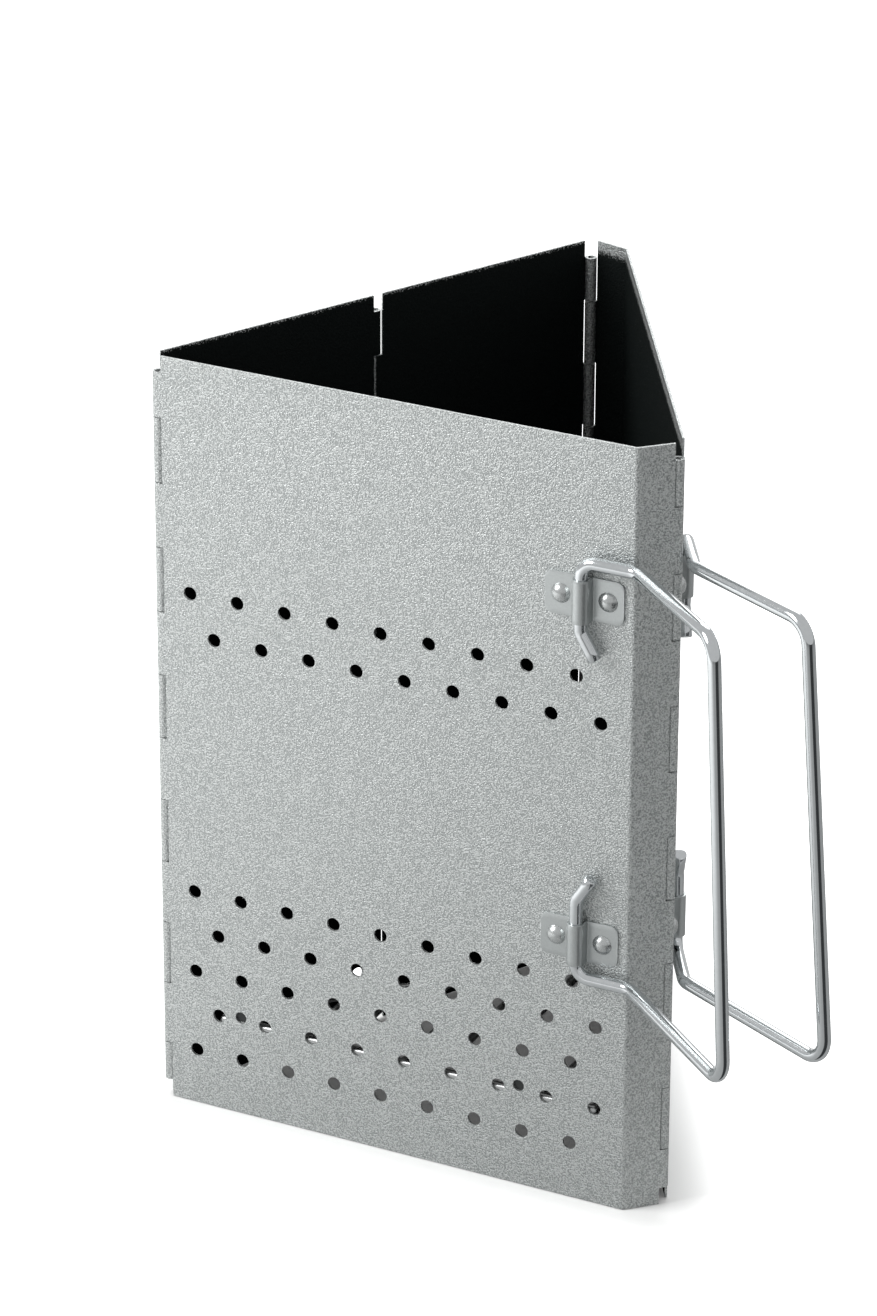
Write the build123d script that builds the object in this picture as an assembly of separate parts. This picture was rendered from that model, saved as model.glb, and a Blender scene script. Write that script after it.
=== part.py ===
from build123d import *
import os
from math import sin, cos, tan, radians, degrees, atan2, hypot

# Folding sheet-metal charcoal holder, open top and bottom, triangular in plan. Its front
# and right walls are rigid; its back wall is two halves that fold on a centre hinge.
# Two bent wire handles swing outside it and a wire grate is hinged inside the front wall.
# Millimetres and degrees. z is up and the walls stand on z = 0. The front wall faces -y.
# Everything is drawn in wall coordinates, with the front wall's outer face on y = 0 and
# x along it, and is moved to the plan centre on export.

os.makedirs("parts", exist_ok=True)

# ---- walls ----
HEIGHT = 275.0            # height of every wall
SHEET = 0.8               # wall sheet thickness
FACE_W = 172.29           # flat face of a main wall, from x = 0 to the bend
FLANGE_DEG = 45.0         # turn of the flange at the end of a main wall
FLANGE_AXIS = 14.7        # bend to hinge axis, measured along the flange
BEND_OUT_R = 1.7          # outside radius of the bend
BEND_IN_R = BEND_OUT_R - SHEET
WALL_TURN = 121.04        # plan angle from the front wall to the right wall
ORIGIN_X = 125.09         # plan centre of the whole object, in wall coordinates
ORIGIN_Y = 57.41

# ---- hinges ----
KNUCKLE_R = 2.0           # outer radius of a rolled knuckle
BORE_R = 1.2              # bore of a rolled knuckle
KNUCKLE_LAP = 0.4         # knuckle strip's overlap onto the sheet
PIN_R = 1.15
PIN_RECESS = 1.5          # pin ends set back inside the open barrel ends
NOTCH = 1.8               # sheet edge set back from a hinge axis
AXIS_X = -1.5             # first hinge axis, along the wall
AXIS_IN = 2.0             # corner hinge axes, set in from the outer face
CENTRE_OUT = 1.2          # centre hinge axis, outside the back wall's outer face
BARREL_LOW = 6.0          # lowest end of a hinge barrel
BARREL_TOP = 269.0        # highest end of a hinge barrel
KNUCKLE_FIRST = 20.6      # top of the lowest knuckle
KNUCKLE_PITCH = 23.25
KNUCKLE_JOINTS = 11
KNUCKLE_GAP = 0.15        # end clearance on each side of a knuckle joint

# ---- holes ----
VENT_R = 2.4
VENT_PITCH = 17.765
VENT_X0 = 10.16           # first vent of an unshifted row
VENT_STAGGER = 8.9        # sideways move of a shifted row
# (z, 1 if the row is shifted)
VENT_ROWS = [(192.24, 0), (176.97, 1), (81.44, 0), (66.22, 1), (51.01, 0), (35.7, 1), (20.52, 0)]
BACK_VENT_ROWS = VENT_ROWS[2:]
VENTS_PER_ROW = 9
BACK_VENTS = 5            # vents in an unshifted row of a back half
SMALL_HOLES = [(27.5, 37.0), (133.2, 37.4)]     # (x, z)
SMALL_HOLE_R = 2.1
CUTTER_LENGTH = 12.0

# ---- handles, brackets and rivets ----
WIRE_R = 2.25             # handle wire radius
FIT = 0.05                # radial clearance in wire loops and rivet holes
STRAP = 0.7               # bracket and clip strap thickness
WIRE_OUT = 3.2            # handle swing axis, out from the wall face
BRACKET_HALF = 14.0       # half the bracket's width
BRACKET_H = 15.0
BRACKET_CORNER_R = 2.6
BRACKET_Z = {"upper": 213.0, "lower": 90.2}     # underside of each bracket
RIVET_PITCH = 8.4         # rivet, either side of the wire
RIVET_R = 1.6
RIVET_HOLE_R = RIVET_R + FIT
RIVET_HEAD_R = 3.4
RIVET_HEAD_H = 2.0
RIVET_TAIL_R = 2.6
RIVET_TAIL_H = 0.9
RIVET_LAP = 0.2           # shank length buried in the head and the tail together
FRONT_AXIS_X = 155.0      # front handle swing axis along the front wall
RIGHT_AXIS_X = 18.0       # right handle swing axis along the right wall
ARM_TOP = 234.0           # height of the upper arm
ARM_LOW = 85.5            # height of the lower arm
TOE_OUT = 5.4             # sideways reach of the turned wire ends
UPPER_TOE_Z = (200.5, 209.6)    # tip and bend of the upper wire end
LOWER_TOE_Z = (122.3, 113.4)    # tip and bend of the lower wire end
# bend radii from the upper end: toe, arm root, arm kink, grip; then grip to toe below
HANDLE_BENDS = [5, 5, 7, 8.5, 8.0, 7, 5, 5]

# ---- grate ----
GRATE_R = 1.75            # hinge rod and rim wire radius
CROSS_R = GRATE_R - 0.15  # cross rod radius
GRATE_Z = 33.5
GRATE_IN = 2.65           # grate hinge rod, in from the outer face
# rim corners (x, y), from one end of the hinge rod to the other
GRATE_RIM = [(20.0, GRATE_IN), (20.5, 12.0), (84.0, 68.5), (91.5, 93.0), (98.5, 131.0),
             (157.0, 34.0), (160.0, GRATE_IN)]
CROSS_X = [38.5, 51.0, 63.5, 76.0, 88.5, 101.0, 113.5, 126.0, 141.5]
CLIP_X = [x for x, z in SMALL_HOLES]
CLIP_W = 8.0
CLIP_TAB_H = 17.0         # height of the clip's flat tab on the wall


# ---- plan geometry ----
def add(point, vector, k=1.0):
    return (point[0] + k * vector[0], point[1] + k * vector[1])


def direction(angle):
    return (cos(radians(angle)), sin(radians(angle)))


def span(start, end):
    """Length and plan angle from start to end."""
    dx, dy = end[0] - start[0], end[1] - start[1]
    return hypot(dx, dy), degrees(atan2(dy, dx))


FLANGE_ALONG = direction(FLANGE_DEG)
FLANGE_OUT = direction(FLANGE_DEG - 90)

# hinge axes: each main wall spans LINK between its two, and the back wall closes the triangle
FRONT_LEFT = (AXIS_X, AXIS_IN)
FRONT_RIGHT = add(add((FACE_W, 0), FLANGE_ALONG, FLANGE_AXIS), FLANGE_OUT, -AXIS_IN)
LINK, LINK_DEG = span(FRONT_LEFT, FRONT_RIGHT)
REAR = add(FRONT_RIGHT, direction(WALL_TURN + LINK_DEG), LINK)
BACK_LEN, BACK_DEG = span(FRONT_LEFT, REAR)
BACK_HALF = BACK_LEN / 2
BACK_ALONG = direction(BACK_DEG)
BACK_OUT = direction(BACK_DEG + 90)
BACK_CENTRE = add(add(FRONT_LEFT, BACK_ALONG, BACK_HALF), BACK_OUT, AXIS_IN + CENTRE_OUT)

# inner face of the sheet, measured outward from the hinge axis
CORNER_OFFSET = AXIS_IN - SHEET
CENTRE_OFFSET = -CENTRE_OUT - SHEET

# knuckle (low, high) ends, listed from the top down and shared alternately
JOINTS = [KNUCKLE_FIRST + KNUCKLE_PITCH * k for k in range(KNUCKLE_JOINTS)]
CUTS = [BARREL_LOW] + JOINTS + [BARREL_TOP]
SEGMENTS = []
for low, high in reversed(list(zip(CUTS, CUTS[1:]))):
    SEGMENTS.append((low + (KNUCKLE_GAP if low > BARREL_LOW else 0),
                     high - (KNUCKLE_GAP if high < BARREL_TOP else 0)))
ODD = SEGMENTS[0::2]
EVEN = SEGMENTS[1::2]


# ---- shared shapes and placing ----
def prism(points, low, high):
    face = make_face(Polyline(*points, close=True))
    return Pos(0, 0, low) * extrude(face, high - low, dir=(0, 0, 1))


def upright(point, radius, low, high):
    """Vertical cylinder between two heights."""
    return Pos(point[0], point[1], (low + high) / 2) * Cylinder(radius, high - low)


def across(x, z, radius, length=CUTTER_LENGTH, y=0):
    """Cylinder along y, through a wall."""
    return Pos(x, y, z) * Rot(90, 0, 0) * Cylinder(radius, length)


def lengthwise(x, y, z, radius, length):
    """Cylinder along x."""
    return Pos(x, y, z) * Rot(0, 90, 0) * Cylinder(radius, length)


def to_front(shape):
    """The front wall is drawn in place."""
    return shape


def to_right(shape):
    """Place a shape drawn in a main wall's frame as the right wall."""
    turned = Rot(0, 0, WALL_TURN) * Pos(-FRONT_LEFT[0], -FRONT_LEFT[1], 0) * shape
    return Pos(FRONT_RIGHT[0], FRONT_RIGHT[1], 0) * turned


def one(shape):
    solids = shape.solids()
    assert len(solids) == 1, len(solids)
    return solids[0]


# ---- walls ----
def knuckles(axis, along, outward, segments, offset):
    """Rolled knuckles: rings on the axis, each with its strip of sheet.
    along points from the axis into the sheet; the sheet lies between
    offset and offset + SHEET from the axis, measured along outward."""
    solids = []
    for low, high in segments:
        ring = upright(axis, KNUCKLE_R, low, high)
        far_in = add(add(axis, along, NOTCH + KNUCKLE_LAP), outward, offset)
        near_in = add(axis, outward, offset)
        near_out = add(near_in, outward, SHEET)
        far_out = add(far_in, outward, SHEET)
        ring = ring + prism([far_in, near_in, near_out, far_out], low, high)
        ring = ring - upright(axis, BORE_R, low - 0.5, high + 0.5)
        solids.append(ring)
    return solids


def round_bend(plate, x, y, radius):
    """Fillet the upright edge nearest to (x, y)."""
    edges = plate.edges().filter_by(Axis.Z)
    edge = edges.sort_by(lambda e: hypot(e.center().X - x, e.center().Y - y))[0]
    return fillet(edge, radius)


def main_wall(bracket_x):
    """A main wall with its flange, in its own plan frame:
    outer face on y = 0, body on +y."""
    x0 = AXIS_X + NOTCH
    end = add((FACE_W, 0), FLANGE_ALONG, FLANGE_AXIS - NOTCH)
    inner_x = FACE_W - SHEET * tan(radians(FLANGE_DEG / 2))
    plate = prism([(x0, 0), (FACE_W, 0), end, add(end, FLANGE_OUT, -SHEET),
                   (inner_x, SHEET), (x0, SHEET)], 0, HEIGHT)
    plate = round_bend(plate, FACE_W, 0, BEND_OUT_R)
    plate = round_bend(plate, inner_x, SHEET, BEND_IN_R)
    cutters = []
    for z, shifted in VENT_ROWS:
        for k in range(VENTS_PER_ROW):
            cutters.append(across(VENT_X0 + shifted * VENT_STAGGER + k * VENT_PITCH, z, VENT_R))
    for x, z in SMALL_HOLES:
        cutters.append(across(x, z, SMALL_HOLE_R))
    for z in BRACKET_Z.values():
        for side in (-1, 1):
            x = bracket_x + side * RIVET_PITCH
            cutters.append(across(x, z + BRACKET_H / 2, RIVET_HOLE_R))
    plate = plate - cutters
    rolled = knuckles(FRONT_LEFT, (1, 0), (0, -1), ODD, CORNER_OFFSET)
    rolled += knuckles(FRONT_RIGHT, direction(FLANGE_DEG + 180), FLANGE_OUT, EVEN, CORNER_OFFSET)
    return plate + rolled


def back_half(hinge_start, first_axis, first_offset, last_axis, last_offset):
    """Half of the back wall; hinge_start is its first hinge's distance from the
    front left hinge, measured along the back wall."""
    start = hinge_start + NOTCH
    stop = hinge_start + BACK_HALF - NOTCH

    def on_face(distance):
        return add(add(FRONT_LEFT, BACK_ALONG, distance), BACK_OUT, AXIS_IN)

    a, b = on_face(start), on_face(stop)
    plate = prism([a, b, add(b, BACK_OUT, -SHEET), add(a, BACK_OUT, -SHEET)], 0, HEIGHT)
    cutters = []
    for z, shifted in BACK_VENT_ROWS:
        # rows are centred on the half; shifted rows have one vent fewer
        count = BACK_VENTS - shifted
        for k in range(count):
            x, y = on_face((start + stop) / 2 + (k - (count - 1) / 2) * VENT_PITCH)
            cutters.append(Pos(x, y, 0) * Rot(0, 0, BACK_DEG) * across(0, z, VENT_R))
    plate = plate - cutters
    rolled = knuckles(first_axis, BACK_ALONG, BACK_OUT, EVEN, first_offset)
    rolled += knuckles(last_axis, direction(BACK_DEG + 180), BACK_OUT, ODD, last_offset)
    return plate + rolled


# ---- hinge pins ----
def full_pin(axis):
    """One wire pin through a whole barrel, ending inside it."""
    return upright(axis, PIN_R, BARREL_LOW + PIN_RECESS, BARREL_TOP - PIN_RECESS)


def pin_lengths(axis, segments):
    """Separate pin lengths, one inside each listed knuckle and clear of the others."""
    pins = []
    for low, high in segments:
        top = high - PIN_RECESS if high >= BARREL_TOP else high
        pins.append(upright(axis, PIN_R, low, top))
    return pins


# ---- handles ----
def bracket(x, z):
    """Saddle strap: two ears flat on the wall and a loop over the wire."""
    inner = WIRE_R + FIT
    outer = inner + STRAP
    mid_z = z + BRACKET_H / 2
    body = Pos(0, -WIRE_OUT, mid_z) * Cylinder(outer, BRACKET_H)
    body = body + Pos(0, -WIRE_OUT / 2, mid_z) * Box(2 * outer, WIRE_OUT, BRACKET_H)
    ears = Pos(0, -STRAP / 2, mid_z) * Box(2 * BRACKET_HALF, STRAP, BRACKET_H)
    ears = fillet(ears.edges().filter_by(Axis.Y), BRACKET_CORNER_R)
    body = body + ears
    body = body - Pos(0, -WIRE_OUT, mid_z) * Cylinder(inner, BRACKET_H + 2)
    # open the loop to the wall
    body = body - Pos(0, -WIRE_OUT / 2 + 1, mid_z) * Box(2 * inner, WIRE_OUT + 2, BRACKET_H + 2)
    for side in (-1, 1):
        body = body - across(side * RIVET_PITCH, mid_z, RIVET_HOLE_R)
    return Pos(x, 0, 0) * body


def rivets(bracket_x, bracket_z):
    """Two rivets: domed head outside, shank, flat tail inside the wall."""
    dome_r = (RIVET_HEAD_R ** 2 + RIVET_HEAD_H ** 2) / (2 * RIVET_HEAD_H)
    z = bracket_z + BRACKET_H / 2
    pair = []
    for side in (-1, 1):
        x = bracket_x + side * RIVET_PITCH
        dome = Pos(x, -STRAP - RIVET_HEAD_H + dome_r, z) * Sphere(dome_r)
        dome = dome & (Pos(x, -STRAP - 5, z) * Box(20, 10, 20))
        shank = across(x, z, RIVET_R, SHEET + STRAP + RIVET_LAP, y=(SHEET - STRAP) / 2)
        tail = across(x, z, RIVET_TAIL_R, RIVET_TAIL_H, y=SHEET + RIVET_TAIL_H / 2)
        pair.append(dome + shank + tail)
    return pair


def rounded_wire(points, radii):
    """A 3D path of straight runs and true bend arcs."""
    corners = [Vector(*p) for p in points]
    edges = []
    start = corners[0]
    for before, corner, after, radius in zip(corners, corners[1:], corners[2:], radii):
        back = (before - corner).normalized()
        ahead = (after - corner).normalized()
        half_angle = radians(back.get_angle(ahead)) / 2
        reach = radius / tan(half_angle)
        arc_start, arc_end = corner + back * reach, corner + ahead * reach
        bisector = (back + ahead).normalized()
        centre = corner + bisector * (radius / sin(half_angle))
        edges.append(Line(start, arc_start))
        edges.append(ThreePointArc(arc_start, centre - bisector * radius, arc_end))
        start = arc_end
    edges.append(Line(start, corners[-1]))
    return Wire(edges)


def handle(axis_x, sense, run, bend, upper_reach, lower_reach):
    """Bent wire handle. Its arms leave the swing axis along +x when sense is +1 and
    along -x when it is -1, follow the wall for run, then turn out by bend degrees."""
    root = (axis_x, -WIRE_OUT)
    toe = add(root, (sense * TOE_OUT, 0))
    kink = add(root, (sense * run, 0))
    arm = (sense * cos(radians(bend)), -sin(radians(bend)))
    points = [(*toe, UPPER_TOE_Z[0]), (*root, UPPER_TOE_Z[1]),
              (*root, ARM_TOP), (*kink, ARM_TOP), (*add(kink, arm, upper_reach), ARM_TOP),
              (*add(kink, arm, lower_reach), ARM_LOW), (*kink, ARM_LOW), (*root, ARM_LOW),
              (*root, LOWER_TOE_Z[1]), (*toe, LOWER_TOE_Z[0])]
    path = rounded_wire(points, HANDLE_BENDS)
    first, second = Vector(*points[0]), Vector(*points[1])
    plane = Plane(origin=first, z_dir=(second - first).normalized())
    return sweep(plane * Circle(WIRE_R), path=path)


# ---- grate ----
def rim_y(x):
    """Far side of the grate rim at x."""
    for a, b in zip(GRATE_RIM, GRATE_RIM[1:]):
        if a[0] <= x <= b[0]:
            return a[1] + (b[1] - a[1]) * (x - a[0]) / (b[0] - a[0])


def grate():
    """Welded wire grate: hinge rod, rim wire and cross rods, one piece."""
    x0, x1 = GRATE_RIM[0][0], GRATE_RIM[-1][0]
    grid = lengthwise((x0 + x1) / 2, GRATE_IN, GRATE_Z, GRATE_R, x1 - x0)
    for a, b in zip(GRATE_RIM, GRATE_RIM[1:]):
        length, angle = span(a, b)
        middle = Pos((a[0] + b[0]) / 2, (a[1] + b[1]) / 2, GRATE_Z)
        grid = grid + middle * Rot(0, 0, angle) * Rot(0, 90, 0) * Cylinder(GRATE_R, length)
    for x, y in GRATE_RIM:
        grid = grid + Pos(x, y, GRATE_Z) * Sphere(GRATE_R)
    for x in CROSS_X:
        y = rim_y(x)
        grid = grid + across(x, GRATE_Z, CROSS_R, y - GRATE_IN, y=(GRATE_IN + y) / 2)
    return grid


def grate_clip(x):
    """Saddle over the grate's hinge rod, inside the front wall."""
    inner = GRATE_R + FIT
    outer = inner + STRAP
    y, z = GRATE_IN, GRATE_Z
    body = lengthwise(x, y, z, outer, CLIP_W)
    body = body & (Pos(x, SHEET + 5, z) * Box(20, 10, 20))
    body = body + Pos(x, (SHEET + y) / 2, z) * Box(CLIP_W, y - SHEET, 2 * outer)
    body = body + Pos(x, SHEET + STRAP / 2, z) * Box(CLIP_W, STRAP, CLIP_TAB_H)
    body = body - lengthwise(x, y, z, inner, CLIP_W + 2)
    # open the loop to the wall
    body = body - Pos(x, y / 2, z) * Box(CLIP_W + 2, y, 2 * inner)
    return body


# ---- pieces: file name to its solids ----
PIECES = {
    "front_panel": [one(main_wall(FRONT_AXIS_X))],
    "right_panel": [one(to_right(main_wall(RIGHT_AXIS_X)))],
    "back_left_panel": [
        one(back_half(0, FRONT_LEFT, CORNER_OFFSET, BACK_CENTRE, CENTRE_OFFSET))],
    "back_right_panel": [
        one(back_half(BACK_HALF, BACK_CENTRE, CENTRE_OFFSET, REAR, CORNER_OFFSET))],
    "front_left_hinge_pin": [full_pin(FRONT_LEFT)],
    "back_centre_hinge_pin": [full_pin(BACK_CENTRE)],
    "rear_hinge_pin": [full_pin(REAR)],
    "front_right_hinge_pin": pin_lengths(FRONT_RIGHT, ODD),
    "front_handle": [one(handle(FRONT_AXIS_X, sense=1, run=19.6, bend=40.0,
                                upper_reach=55.6, lower_reach=70.8))],
    "right_handle": [one(to_right(handle(RIGHT_AXIS_X, sense=-1, run=25.0, bend=33.0,
                                         upper_reach=54.9, lower_reach=70.6)))],
    "charcoal_grate": [one(grate())],
    "grate_hinge_clips": [one(grate_clip(x)) for x in CLIP_X],
}
for wall, x, place in (("front", FRONT_AXIS_X, to_front), ("right", RIGHT_AXIS_X, to_right)):
    for level, z in BRACKET_Z.items():
        PIECES[f"{wall}_{level}_handle_bracket"] = [one(place(bracket(x, z)))]
        PIECES[f"{wall}_{level}_bracket_rivets"] = [one(place(r)) for r in rivets(x, z)]

for name, solids in PIECES.items():
    moved = [Pos(-ORIGIN_X, -ORIGIN_Y, 0) * solid for solid in solids]
    shape = moved[0] if len(moved) == 1 else Compound(children=moved)
    export_step(shape, f"parts/{name}.step")
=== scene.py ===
"""Looks of a three-walled folding chimney charcoal starter, built around its CAD frame.

Pieces on a wall are laid out in millimetres in the wall's own frame: x runs along the wall from
its hinge, y points into the chamber from the wall's outer face, z is up from the floor.
The scene is in metres with +Z up. The front wall faces -Y, and the right wall has the same frame
turned about the hinge at the front wall's right end.
"""
import math
import random

import bmesh
import bpy
import numpy as np
from mathutils import Matrix, Vector


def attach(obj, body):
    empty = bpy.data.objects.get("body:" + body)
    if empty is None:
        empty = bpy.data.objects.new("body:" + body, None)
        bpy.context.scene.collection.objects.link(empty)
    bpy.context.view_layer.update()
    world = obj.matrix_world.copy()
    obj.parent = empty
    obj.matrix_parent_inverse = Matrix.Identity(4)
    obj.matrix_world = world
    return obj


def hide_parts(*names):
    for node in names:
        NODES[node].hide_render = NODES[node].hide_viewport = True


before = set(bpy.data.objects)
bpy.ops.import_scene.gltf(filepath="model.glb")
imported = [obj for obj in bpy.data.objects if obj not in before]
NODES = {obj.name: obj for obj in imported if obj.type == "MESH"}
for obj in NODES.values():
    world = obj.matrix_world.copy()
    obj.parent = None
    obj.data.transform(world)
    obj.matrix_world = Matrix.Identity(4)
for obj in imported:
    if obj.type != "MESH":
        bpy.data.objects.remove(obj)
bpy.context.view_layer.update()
rng = random.Random(7)

# ---- shared dimensions, millimetres and degrees ----
SCENE_ORIGIN = np.array([125.09, 57.41, 0.0])      # scene origin in the front wall's frame
LEFT_HINGE = np.array([-1.5, 2.0, 0.0])            # hinge axis in each wall's own frame
RIGHT_HINGE = np.array([181.2703, 11.8087, 0.0])   # hinge axis of the right wall, front frame
RIGHT_TURN = 121.04
BACK_DIRECTION = 63.59                             # heading of the back wall
SHEET = 0.8                                        # wall thickness
FLANGE_X = 172.29                                  # where a wall's 45 degree flange starts
WIRE_R = 2.25
WIRE_OUT = 3.2                                     # wire axis outside the wall's outer face
STRAP = 0.7                                        # bracket thickness
RIVET_OFFSET = 8.4                                 # rivet axis to bracket middle
BRACKET_Z = {"upper": 220.5, "lower": 97.7}


# ---- placing and meshing ----
def rot_z(degrees):
    c, s = math.cos(math.radians(degrees)), math.sin(math.radians(degrees))
    return np.array([[c, -s, 0], [s, c, 0], [0, 0, 1.0]])


def place_front(point):
    return (np.asarray(point, float) - SCENE_ORIGIN) / 1000


def place_right(point):
    turned = (np.asarray(point, float) - LEFT_HINGE) @ rot_z(RIGHT_TURN).T
    return place_front(turned + RIGHT_HINGE)


PLACE = {"front": place_front, "right": place_right}


def link_object(name, data):
    obj = bpy.data.objects.new(name, data)
    bpy.context.scene.collection.objects.link(obj)
    return obj


def mesh_object(name, verts, faces, smooth=True):
    mesh = bpy.data.meshes.new(name)
    mesh.from_pydata([tuple(map(float, v)) for v in verts], [], faces)
    mesh.validate()
    mesh.update()
    for polygon in mesh.polygons:
        polygon.use_smooth = smooth
    return link_object(name, mesh)


def fix_normals(obj, merge_distance=None):
    """Turn all faces outward, first merging coincident vertices if a distance is given."""
    bm = bmesh.new()
    bm.from_mesh(obj.data)
    if merge_distance is not None:
        bmesh.ops.remove_doubles(bm, verts=bm.verts, dist=merge_distance)
    bmesh.ops.recalc_face_normals(bm, faces=bm.faces)
    bm.to_mesh(obj.data)
    bm.free()


# ---- handle wires, slightly flattened at their bends ----
HANDLE_TOP, HANDLE_BOTTOM = 234.0, 85.5
TIP_SHIFT = 5.4                            # sideways offset of each wire end
UPPER_TIP_Z, UPPER_TIP_BEND_Z = 200.5, 209.6
LOWER_TIP_Z, LOWER_TIP_BEND_Z = 122.3, 113.4
BEND_RADII = [5, 5, 7, 8.5, 8.0, 7, 5, 5]  # one for each inner point of the wire
BEND_FLATTENING = 0.09                     # share of the radius lost at mid bend
STRAIGHT_STEP, BEND_STEP = 3.0, 0.9
WIRE_SEGMENTS = 28
END_CHAMFER, END_SCALE = 0.28, 0.80        # length, and radius scale at the end face

# run lies along the wall; the arms then slope outward by slope degrees
HANDLES = {
    "front": dict(axis_x=155.0, sense=1, run=19.6, slope=40.0, upper_arm=55.6, lower_arm=70.8),
    "right": dict(axis_x=18.0, sense=-1, run=25.0, slope=33.0, upper_arm=54.9, lower_arm=70.6),
}


def handle_points(axis_x, sense, run, slope, upper_arm, lower_arm):
    """Corner points of a handle wire, from its upper tip round the grip to its lower tip."""
    y = -WIRE_OUT
    run_x = axis_x + sense * run
    tip_x = axis_x + sense * TIP_SHIFT
    slope_x = sense * math.cos(math.radians(slope))
    slope_y = -math.sin(math.radians(slope))
    return [
        (tip_x, y, UPPER_TIP_Z),
        (axis_x, y, UPPER_TIP_BEND_Z),
        (axis_x, y, HANDLE_TOP),
        (run_x, y, HANDLE_TOP),
        (run_x + slope_x * upper_arm, y + slope_y * upper_arm, HANDLE_TOP),
        (run_x + slope_x * lower_arm, y + slope_y * lower_arm, HANDLE_BOTTOM),
        (run_x, y, HANDLE_BOTTOM),
        (axis_x, y, HANDLE_BOTTOM),
        (axis_x, y, LOWER_TIP_BEND_Z),
        (tip_x, y, LOWER_TIP_Z),
    ]


def wire_path(corners, radii):
    """Points along straight runs and bend arcs, and how close each is to a bend's middle."""
    corners = [np.array(corner, float) for corner in corners]
    path, bend_share = [corners[0]], [0.0]

    def add_straight(start, end):
        count = max(2, int(np.linalg.norm(end - start) / STRAIGHT_STEP))
        for k in range(1, count + 1):
            path.append(start + (end - start) * k / count)
            bend_share.append(0.0)

    current = corners[0]
    for before, corner, after, radius in zip(corners, corners[1:], corners[2:], radii):
        back = before - corner
        ahead = after - corner
        back /= np.linalg.norm(back)
        ahead /= np.linalg.norm(ahead)
        angle = math.acos(float(np.clip(back @ ahead, -1, 1)))
        reach = radius / math.tan(angle / 2)
        arc_start, arc_end = corner + back * reach, corner + ahead * reach
        bisector = (back + ahead) / np.linalg.norm(back + ahead)
        centre = corner + bisector * (radius / math.sin(angle / 2))
        add_straight(current, arc_start)
        from_start, from_end = arc_start - centre, arc_end - centre
        turn = math.pi - angle
        count = max(5, int(radius * turn / BEND_STEP))
        for k in range(1, count + 1):
            t = k / count
            spoke = math.sin((1 - t) * turn) * from_start + math.sin(t * turn) * from_end
            path.append(centre + spoke / math.sin(turn))
            bend_share.append(math.sin(math.pi * t))
        current = arc_end
    add_straight(current, corners[-1])
    return np.array(path), np.array(bend_share)


def sweep_wire(name, path, bend_share, place):
    tangents = np.gradient(path, axis=0)
    tangents /= np.linalg.norm(tangents, axis=1)[:, None]
    # carry one normal along the path so the tube doesn't twist
    seed = np.array([0.3, 0.9, 0.3])
    normal = seed - (seed @ tangents[0]) * tangents[0]
    normal /= np.linalg.norm(normal)
    axes = []
    for tangent in tangents:
        normal = normal - (normal @ tangent) * tangent
        normal /= np.linalg.norm(normal)
        axes.append((normal.copy(), np.cross(tangent, normal)))
    # stations: path index, shift along the wire, radius scale
    last = len(path) - 1
    stations = [(0, 0.0, END_SCALE), (0, END_CHAMFER, 1.0)]
    stations += [(i, 0.0, 1.0) for i in range(1, last)]
    stations += [(last, -END_CHAMFER, 1.0), (last, 0.0, END_SCALE)]
    seg = WIRE_SEGMENTS
    verts, faces = [], []
    for i, shift, scale in stations:
        axis_1, axis_2 = axes[i]
        flat = BEND_FLATTENING * bend_share[i]
        for s in range(seg):
            theta = 2 * math.pi * s / seg
            spoke = math.cos(theta) * axis_1 + math.sin(theta) * axis_2
            shrink = 1 - flat * abs(spoke[2]) ** 6 - 0.5 * flat * abs(spoke[1]) ** 8
            radius = WIRE_R * scale * shrink
            verts.append(place(path[i] + tangents[i] * shift + spoke * radius))
    rings = len(stations)
    for j in range(rings - 1):
        for s in range(seg):
            s2 = (s + 1) % seg
            faces.append((j * seg + s, j * seg + s2, (j + 1) * seg + s2, (j + 1) * seg + s))
    faces.append(tuple(range(seg))[::-1])
    faces.append(tuple((rings - 1) * seg + s for s in range(seg)))
    obj = mesh_object(name, verts, faces)
    for end_cap in list(obj.data.polygons)[-2:]:
        end_cap.use_smooth = False
    fix_normals(obj)
    return obj


handle_objects = []
for side, sizes in HANDLES.items():
    path, bend_share = wire_path(handle_points(**sizes), BEND_RADII)
    handle = sweep_wire(f"{side}_handle_wire", path, bend_share, PLACE[side])
    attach(handle, f"{side}_handle")
    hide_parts(f"{side}_handle")
    handle_objects.append(handle)

# ---- pressed saddle brackets ----
LOOP_R = WIRE_R + 0.05 + STRAP / 2         # mid-thickness, with clearance round the wire
EAR_Y = -STRAP / 2
EAR_FILLET = 0.85
SADDLE_HALF_WIDTH, SADDLE_HALF_HEIGHT = 14.0, 7.5
SADDLE_CORNER = 2.6
SADDLE_ROWS = 9


def saddle_line():
    """Mid-thickness section of the strap as (x, y) about the wire's x, from end to end."""
    right = []
    for k in range(15):                    # loop, from the crown to its side
        theta = math.pi / 2 * k / 14
        right.append((LOOP_R * math.sin(theta), -WIRE_OUT - LOOP_R * math.cos(theta)))
    side_end = EAR_Y - EAR_FILLET
    for k in range(1, 4):                  # straight side towards the wall
        right.append((LOOP_R, -WIRE_OUT + (side_end + WIRE_OUT) * k / 3))
    for k in range(1, 9):                  # fillet out into the ear
        theta = math.pi / 2 * k / 8
        right.append((LOOP_R + EAR_FILLET * (1 - math.cos(theta)),
                      side_end + EAR_FILLET * math.sin(theta)))
    corner_x = SADDLE_HALF_WIDTH - SADDLE_CORNER
    ear = list(np.linspace(right[-1][0], corner_x, 10))[1:]
    ear += [corner_x + SADDLE_CORNER * math.sin(math.pi / 2 * k / 10) for k in range(1, 11)]
    right += [(x, EAR_Y) for x in ear]
    return np.array([(-x, y) for x, y in right[::-1]][:-1] + right)


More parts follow.
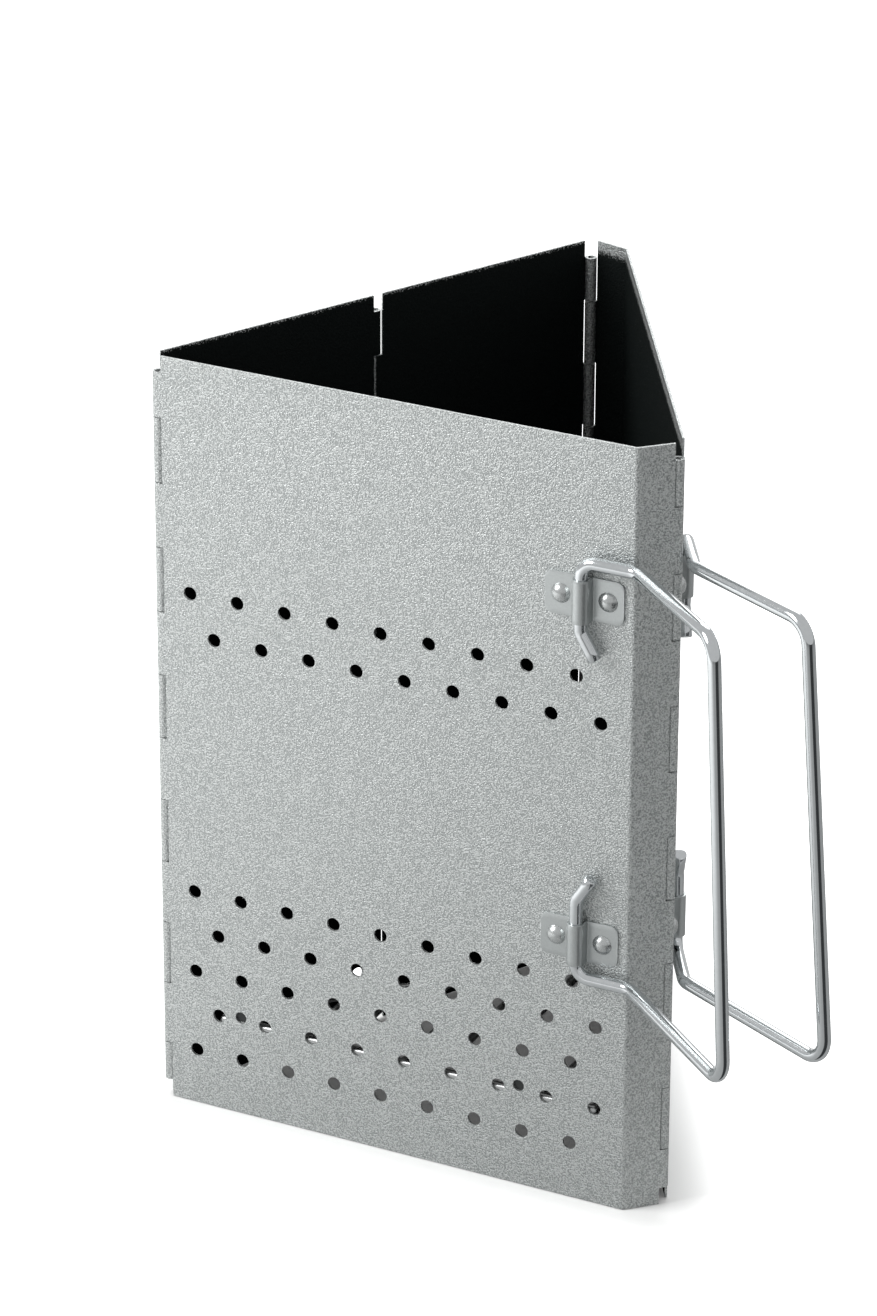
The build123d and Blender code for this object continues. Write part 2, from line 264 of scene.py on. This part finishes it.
def saddle(name, mid_x, mid_z, place):
    line = saddle_line()
    tangents = np.gradient(line, axis=0)
    tangents /= np.linalg.norm(tangents, axis=1)[:, None]
    normals = np.stack([-tangents[:, 1], tangents[:, 0]], 1)
    rows, corner = SADDLE_ROWS, SADDLE_CORNER
    verts, faces = [], []
    for (x, y), normal in zip(line, normals):
        over = max(0.0, abs(x) - (SADDLE_HALF_WIDTH - corner))
        rounding = math.sqrt(max(0.0, corner ** 2 - over ** 2))
        half_z = SADDLE_HALF_HEIGHT - corner + rounding
        for sign in (-1, 1):
            offset = sign * STRAP / 2
            for k in range(rows):
                z = half_z * (2 * k / (rows - 1) - 1)
                verts.append(place((mid_x + x + normal[0] * offset,
                                    y + normal[1] * offset, mid_z + z)))

    def vid(i, skin, k):
        return (i * 2 + skin) * rows + k

    count, top = len(line), rows - 1
    for i in range(count - 1):
        j = i + 1
        for k in range(top):
            faces.append((vid(i, 0, k), vid(j, 0, k), vid(j, 0, k + 1), vid(i, 0, k + 1)))
            faces.append((vid(i, 1, k), vid(i, 1, k + 1), vid(j, 1, k + 1), vid(j, 1, k)))
        faces.append((vid(i, 0, 0), vid(i, 1, 0), vid(j, 1, 0), vid(j, 0, 0)))
        faces.append((vid(i, 0, top), vid(j, 0, top), vid(j, 1, top), vid(i, 1, top)))
    for i in (0, count - 1):
        for k in range(top):
            faces.append((vid(i, 0, k), vid(i, 0, k + 1), vid(i, 1, k + 1), vid(i, 1, k)))
    obj = mesh_object(name, verts, faces)
    fix_normals(obj)
    bevel = obj.modifiers.new("edge", "BEVEL")
    bevel.width = 0.00012
    bevel.segments = 2
    bevel.limit_method = "ANGLE"
    bevel.angle_limit = math.radians(50)
    return obj


# ---- domed rivets, one closed turned form each ----
HEAD_R, HEAD_HEIGHT = 3.4, 2.0
DOME_EDGE_R = 3.32                         # where the dome gives way to the rounded rim
SHANK_R = 1.6
RIVET_SEGMENTS = 40


def rivet_profile():
    """Turned outline as (radius, y), from the dome's crown to the tail inside the wall."""
    dome_r = (HEAD_R ** 2 + HEAD_HEIGHT ** 2) / (2 * HEAD_HEIGHT)
    centre_y = -STRAP - HEAD_HEIGHT + dome_r
    profile = []
    for k in range(17):
        angle = math.asin(DOME_EDGE_R / dome_r) * k / 16
        profile.append((dome_r * math.sin(angle), centre_y - dome_r * math.cos(angle)))
    # radius, y beyond the strap's outer face
    profile += [(r, -STRAP + y) for r, y in (
        (HEAD_R, -0.07), (3.38, -0.02), (3.3, 0), (SHANK_R, 0))]
    # radius, y beyond the sheet's inner face
    profile += [(r, SHEET + y) for r, y in (
        (SHANK_R, 0), (2.45, 0), (2.58, 0.12), (2.6, 0.45),
        (2.5, 0.72), (2.2, 0.86), (1.2, 0.9), (0, 0.9))]
    return profile


def rivet_pair(name, mid_x, mid_z, place):
    profile = rivet_profile()
    seg = RIVET_SEGMENTS
    rings = len(profile) - 2
    verts, faces = [], []
    for side in (-1, 1):
        crown = len(verts)
        axis_x = mid_x + side * RIVET_OFFSET
        verts.append(place((axis_x, profile[0][1], mid_z)))
        for r, y in profile[1:-1]:
            for s in range(seg):
                theta = 2 * math.pi * s / seg
                verts.append(place((axis_x + r * math.cos(theta), y,
                                    mid_z + r * math.sin(theta))))
        verts.append(place((axis_x, profile[-1][1], mid_z)))
        tail = len(verts) - 1
        for s in range(seg):
            s2 = (s + 1) % seg
            faces.append((crown, crown + 1 + s, crown + 1 + s2))
            for j in range(rings - 1):
                a = crown + 1 + j * seg
                faces.append((a + s, a + seg + s, a + seg + s2, a + s2))
            a = crown + 1 + (rings - 1) * seg
            faces.append((a + s, tail, a + s2))
    obj = mesh_object(name, verts, faces)
    fix_normals(obj)
    return obj


bracket_objects, rivet_objects = [], []
for side, sizes in HANDLES.items():
    for level, mid_z in BRACKET_Z.items():
        spot = (sizes["axis_x"], mid_z, PLACE[side])
        bracket = saddle(f"{side}_{level}_saddle", *spot)
        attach(bracket, f"{side}_wall")
        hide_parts(f"{side}_{level}_handle_bracket")
        bracket_objects.append(bracket)
        rivets = rivet_pair(f"{side}_{level}_domed_rivets", *spot)
        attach(rivets, f"{side}_wall")
        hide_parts(f"{side}_{level}_bracket_rivets")
        rivet_objects.append(rivets)

# ---- weld beads where the grate's cross rods meet its rim ----
RIM_FRONT_Y = 2.65
# x, y along the rim's back outline, from left to right
RIM_BACK = [(20.0, RIM_FRONT_Y), (20.5, 12.0), (84.0, 68.5), (91.5, 93.0),
            (98.5, 131.0), (157.0, 34.0), (160.0, RIM_FRONT_Y)]
ROD_X = (38.5, 51.0, 63.5, 76.0, 88.5, 101.0, 113.5, 126.0, 141.5)
GRATE_Z = 33.5
FRONT_BEAD = np.array([2.1, 1.25, 1.5])    # half sizes in x, y, z
BACK_BEAD = np.array([2.15, 1.75, 1.55])
BEAD_AROUND, BEAD_RINGS = 14, 9


def weld_beads():
    verts, faces = [], []
    nu, nv = BEAD_AROUND, BEAD_RINGS
    for x in ROD_X:
        back_y = np.interp(x, *zip(*RIM_BACK))
        for y, at_front in ((RIM_FRONT_Y + 1.2, True), (back_y - 1.0, False)):
            base = len(verts)
            scale = rng.uniform(0.93, 1.03)          # drawn for every bead, used at the back
            half_sizes = FRONT_BEAD if at_front else BACK_BEAD * scale
            phases = [rng.uniform(0, 6.28) for _ in range(3)]    # the third only keeps the sequence
            for j in range(nv):
                v = math.pi * j / (nv - 1)
                for i in range(nu):
                    u = 2 * math.pi * i / nu
                    spoke = np.array([math.sin(v) * math.cos(u),
                                      math.sin(v) * math.sin(u), math.cos(v)])
                    lump = (1 + 0.05 * math.sin(3 * u + phases[0]) * math.sin(v)
                            + 0.04 * math.sin(2 * v + phases[1]))
                    centre = np.array([x, y, GRATE_Z])
                    verts.append(place_front(centre + spoke * half_sizes * lump))
            for j in range(nv - 1):
                a, b = base + j * nu, base + (j + 1) * nu
                for i in range(nu):
                    i2 = (i + 1) % nu
                    faces.append((a + i, b + i, b + i2, a + i2))
    obj = mesh_object("grate_weld_beads", verts, faces)
    fix_normals(obj, merge_distance=1e-7)
    return obj


beads = weld_beads()
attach(beads, "grate")


# ---- shader building ----
class Graph:
    """Short calls for adding nodes; a value may be a socket or a constant."""

    def __init__(self, tree):
        self.tree = tree

    def node(self, kind):
        return self.tree.nodes.new("ShaderNode" + kind)

    def feed(self, socket, value):
        if isinstance(value, bpy.types.NodeSocket):
            self.tree.links.new(value, socket)
        else:
            socket.default_value = value

    def noise(self, scale, detail, roughness=0.5, stretch=None):
        coords = self.coords
        if stretch:
            mapping = self.node("Mapping")
            mapping.inputs["Scale"].default_value = stretch
            self.feed(mapping.inputs["Vector"], coords)
            coords = mapping.outputs[0]
        noise = self.node("TexNoise")
        noise.inputs["Scale"].default_value = scale
        noise.inputs["Detail"].default_value = detail
        noise.inputs["Roughness"].default_value = roughness
        self.feed(noise.inputs["Vector"], coords)
        return noise.outputs["Fac"]

    def remap(self, value, source=(0.0, 1.0), to=(0.0, 1.0), smooth=False):
        node = self.node("MapRange")
        if smooth:
            node.interpolation_type = "SMOOTHSTEP"
        for key, number in zip(("From Min", "From Max", "To Min", "To Max"), (*source, *to)):
            node.inputs[key].default_value = number
        self.feed(node.inputs["Value"], value)
        return node.outputs["Result"]

    def math(self, operation, *values):
        node = self.node("Math")
        node.operation = operation
        for socket, value in zip(node.inputs, values):
            self.feed(socket, value)
        return node.outputs[0]

    def dot_xy(self, vector, direction):
        node = self.node("VectorMath")
        node.operation = "DOT_PRODUCT"
        node.inputs[1].default_value = (*direction, 0)
        self.feed(node.inputs[0], vector)
        return node.outputs["Value"]

    def mix(self, factor, first, second):
        node = self.node("Mix")
        node.data_type = "RGBA"
        self.feed(node.inputs[0], factor)
        for i, colour in ((6, first), (7, second)):
            self.feed(node.inputs[i], (*colour, 1) if isinstance(colour, tuple) else colour)
        return node.outputs[2]


class Surface(Graph):
    """A new material with one Principled shader and object coordinates."""

    def __init__(self, name):
        self.material = bpy.data.materials.new(name)
        self.material.use_nodes = True
        super().__init__(self.material.node_tree)
        self.tree.nodes.clear()
        output = self.node("OutputMaterial")
        self.shader = self.node("BsdfPrincipled")
        self.feed(output.inputs[0], self.shader.outputs[0])
        self.coords = self.node("TexCoord").outputs["Object"]

    def set(self, key, value):
        self.feed(self.shader.inputs[key], value)

    def bump(self, height, strength, distance):
        node = self.node("Bump")
        node.inputs["Strength"].default_value = strength
        node.inputs["Distance"].default_value = distance
        self.feed(node.inputs["Height"], height)
        self.set("Normal", node.outputs[0])


# ---- materials ----
WALL_TOP = 0.2755                          # metres


def inner_mask(g, planes):
    """1 where the surface faces into the chamber and lies on one of the planes."""
    geometry = g.node("NewGeometry")
    to_object = g.node("VectorTransform")
    to_object.vector_type = "NORMAL"
    to_object.convert_from, to_object.convert_to = "WORLD", "OBJECT"
    g.feed(to_object.inputs[0], geometry.outputs["True Normal"])
    mask = None
    for n, p in planes:
        facing = g.dot_xy(to_object.outputs[0], n)
        along = g.dot_xy(g.coords, n)
        distance = g.math("ABSOLUTE", g.math("SUBTRACT", along, n[0] * p[0] + n[1] * p[1]))
        hit = g.math("MULTIPLY", g.math("GREATER_THAN", facing, 0.9),
                     g.math("LESS_THAN", distance, 0.0003))
        mask = hit if mask is None else g.math("MAXIMUM", mask, hit)
    return mask


def wall_material(name, planes, band):
    """Embossed sheet with painted shade on its inner faces. planes lists its inner faces as
    (normal into the chamber, point on it); band is the height under the top, in metres, that the
    painted shade leaves grey inside."""
    g = Surface(name)
    grain = g.noise(scale=1850, detail=1.0)
    fine = g.noise(scale=3600, detail=1.0)
    height = g.math("ADD", g.remap(grain, source=(0.34, 0.66), smooth=True),
                    g.math("MULTIPLY", fine, 0.3))
    cloud = g.noise(scale=11, detail=3, roughness=0.55)
    speck = g.remap(grain, source=(0.38, 0.62))
    colour = g.mix(speck, (0.345, 0.364, 0.364), (0.668, 0.69, 0.683))
    colour = g.mix(g.math("MULTIPLY", cloud, 0.12), colour, (0.48, 0.50, 0.505))
    inner = inner_mask(g, planes)
    xyz = g.node("SeparateXYZ")
    g.feed(xyz.inputs[0], g.coords)
    # the grain makes the upper edge of the painted shade ragged
    ragged = g.math("MULTIPLY", g.math("SUBTRACT", grain, 0.5), 0.004)
    deep = g.remap(g.math("ADD", xyz.outputs[2], ragged),
                   source=(WALL_TOP - 0.4 * band, WALL_TOP - band), smooth=True)
    # painted shade: below the band the inner faces turn near black, with less metal and sheen,
    # standing in for the chamber's shadow
    painted_shade = g.math("MULTIPLY", inner, deep)
    g.set("Base Color", g.mix(painted_shade, colour, (0.004, 0.006, 0.0058)))
    g.set("Metallic", g.remap(painted_shade, to=(0.82, 0.0)))
    g.set("Roughness", g.math("ADD", g.remap(grain, source=(0.3, 0.7), to=(0.33, 0.45)),
                              g.math("MULTIPLY", painted_shade, 0.3)))
    g.set("Specular IOR Level", g.remap(painted_shade, to=(0.5, 0.10)))
    g.bump(height, strength=0.80, distance=0.00017)
    return g.material


def steel(name, colour, roughness, metallic=1.0, grain_scale=500, stretch=None,
          depth=0.00003, strength=0.3, spread=0.05):
    """Grained metal; spread sets how far the grain varies its colour and roughness."""
    g = Surface(name)
    grain = g.noise(scale=grain_scale, detail=3, roughness=0.6, stretch=stretch)
    patches = g.noise(scale=60, detail=2)
    darker = tuple(c * (1 - 2.2 * spread) for c in colour)
    mixed = g.mix(g.remap(grain, source=(0.3, 0.7)), darker, colour)
    mixed = g.mix(g.math("MULTIPLY", patches, 0.25), mixed, tuple(c * 0.9 for c in colour))
    g.set("Base Color", mixed)
    g.set("Metallic", metallic)
    g.set("Roughness", g.remap(grain, source=(0.3, 0.7),
                               to=(max(0.02, roughness - spread), roughness + spread)))
    g.bump(grain, strength=strength, distance=depth)
    return g.material


def assign(material, *objects):
    for obj in objects:
        if not obj.material_slots:
            obj.data.materials.append(material)
        for slot in obj.material_slots:
            slot.material = material


def unit(degrees):
    return (math.cos(math.radians(degrees)), math.sin(math.radians(degrees)))


def inner_planes(place, turn):
    """The inner faces of a main wall: its flat face and its 45 degree flange."""
    inset = SHEET * math.sqrt(0.5)
    along = 4                              # picks a point on the flange
    return [(unit(90 + turn), place((60, SHEET, 0))),
            (unit(135 + turn), place((FLANGE_X + along - inset, along + inset, 0)))]


back_normal = unit(BACK_DIRECTION - 90)
back_hinge = place_front(LEFT_HINGE)
back_inner = back_hinge - 0.0012 * np.array([*back_normal, 0.0])
for side, turn, band in (("front", 0, 0.0012), ("right", RIGHT_TURN, 0.0055)):
    assign(wall_material(f"embossed_sheet_{side}", inner_planes(PLACE[side], turn), band),
           NODES[f"{side}_panel"])
for side in ("back_left", "back_right"):
    assign(wall_material(f"embossed_sheet_{side}", [(back_normal, back_inner)], 0.0012),
           NODES[f"{side}_panel"])
assign(steel("drawn_pin_wire", (0.42, 0.43, 0.43), roughness=0.32, grain_scale=700,
             stretch=(1, 1, 0.08)),
       *(NODES[f"{place}_hinge_pin"]
         for place in ("front_left", "back_centre", "rear", "front_right")))
assign(steel("welded_grate_wire", (0.46, 0.47, 0.47), roughness=0.30, grain_scale=420,
             depth=0.00006), NODES["charcoal_grate"])
assign(steel("weld_metal", (0.34, 0.335, 0.33), roughness=0.42, grain_scale=900,
             depth=0.0001, strength=0.5, spread=0.08), beads)
satin = steel("satin_pressed_steel", (0.50, 0.525, 0.525), roughness=0.34, metallic=0.9,
              grain_scale=1500, depth=0.00002)
# painted shade: the grate's hinge clips are coloured near black so the vent holes in front of them
# look shadowed
assign(steel("shade_painted_clip_steel", (0.05, 0.053, 0.053), roughness=0.5, metallic=0.7,
             grain_scale=1200, depth=0.00004), NODES["grate_hinge_clips"])
assign(satin, *bracket_objects)
assign(steel("satin_rivet_steel", (0.56, 0.58, 0.58), roughness=0.27, metallic=0.95,
             grain_scale=1300, depth=0.00002), *rivet_objects)
assign(steel("bright_plated_wire", (0.66, 0.685, 0.70), roughness=0.08, grain_scale=600,
             depth=0.00002, strength=0.12, spread=0.03), *handle_objects)

# ---- floor ----
FLOOR_HALF, FLOOR_Z = 8, -0.0003
PALE = (0.93, 0.935, 0.93)


def floor_material():
    g = Surface("pale_floor")
    rays = g.node("LightPath").outputs
    xyz = g.node("SeparateXYZ")
    g.feed(xyz.inputs[0], g.coords)
    x, y = xyz.outputs[0], xyz.outputs[1]
    # in reflections the floor dims towards +X, and is near black in a wedge to the front right
    from_x = g.math("SUBTRACT", x, 0.08)
    from_y = g.math("ADD", y, 0.09)
    angle = g.math("ARCTAN2", from_y, from_x)
    wedge = g.math("MULTIPLY", g.remap(angle, source=(-0.98, -0.80), smooth=True),
                   g.remap(angle, source=(-0.16, 0.05), to=(1.0, 0.0), smooth=True))
    sideways = g.remap(x, source=(-0.42, 0.22), to=(1.0, 0.44), smooth=True)
    brightness = g.math("MULTIPLY", sideways, g.remap(wedge, to=(1.0, 0.07)))
    reflected = g.mix(brightness, (0.01, 0.012, 0.014), PALE)
    g.set("Base Color", g.mix(rays["Is Glossy Ray"], PALE, reflected))
    # the camera sees the floor glow, fading in with distance outside the three walls
    g.set("Emission Color", (1, 1, 1, 1))
    outside = None
    for n, p in ((unit(90), place_front((60, 0, 0))),
                 (unit(90 + RIGHT_TURN), place_right((60, 0, 0))),
                 (back_normal, back_hinge)):
        along = g.math("ADD", g.math("MULTIPLY", x, n[0]), g.math("MULTIPLY", y, n[1]))
        past = g.math("SUBTRACT", float(n[0] * p[0] + n[1] * p[1]), along)
        outside = past if outside is None else g.math("MAXIMUM", outside, past)
    glow = g.remap(outside, source=(0.0, 0.035), to=(0.04, 0.90), smooth=True)
    g.set("Emission Strength", g.math("MULTIPLY", rays["Is Camera Ray"], glow))
    g.set("Roughness", 0.9)
    g.set("Specular IOR Level", 0.1)
    return g.material


floor_corners = [(x * FLOOR_HALF, y * FLOOR_HALF, FLOOR_Z)
                 for x, y in ((-1, -1), (1, -1), (1, 1), (-1, 1))]
floor = mesh_object("floor", floor_corners, [(0, 1, 2, 3)], smooth=False)
assign(floor_material(), floor)

# ---- studio light: the world lights at 0.66 but shows the camera full white ----
world = bpy.data.worlds.new("studio")
bpy.context.scene.world = world
world.use_nodes = True
sky = Graph(world.node_tree)
background = world.node_tree.nodes["Background"]
background.inputs[0].default_value = (1.0, 1.0, 1.0, 1)
sky.feed(background.inputs[1],
         sky.remap(sky.node("LightPath").outputs["Is Camera Ray"], to=(0.66, 1.0)))


def disk_light(name, location, target, diameter, power):
    data = bpy.data.lights.new(name, "AREA")
    data.shape, data.size, data.energy = "DISK", diameter, power
    obj = link_object(name, data)
    obj.location = location
    aim = Vector(target) - Vector(location)
    obj.rotation_euler = aim.to_track_quat("-Z", "Y").to_euler()


disk_light("key", location=(-0.95, -0.75, 1.0), target=(-0.02, 0, 0.16), diameter=0.8, power=15)
disk_light("back_fill", location=(-0.5, 1.5, 1.3), target=(0, 0, 0.1), diameter=1.4, power=12)

# ---- camera, looking down from the front right ----
forward = Vector((-0.40987295, 0.81240743, -0.41472681)).normalized()
rough_up = Vector((-0.19040418, 0.36845356, 0.90993858))
right = forward.cross(rough_up).normalized()
up = right.cross(forward).normalized()
position = (0.718316, -1.526059, 0.937714)
cam_data = bpy.data.cameras.new("camera")
cam_data.sensor_fit = "AUTO"               # the sensor spans the frame's long side
cam_data.sensor_width = 36.0
cam_data.lens = 151.958982
cam_data.clip_start, cam_data.clip_end = 0.05, 50
cam_data.shift_x = 0.00039513678
cam_data.shift_y = 0.00015957447
cam = link_object("camera", cam_data)
cam.matrix_world = Matrix((
    *((right[i], up[i], -forward[i], position[i]) for i in range(3)),
    (0, 0, 0, 1)))
bpy.context.scene.camera = cam

bpy.context.scene.view_settings.view_transform = "Standard"
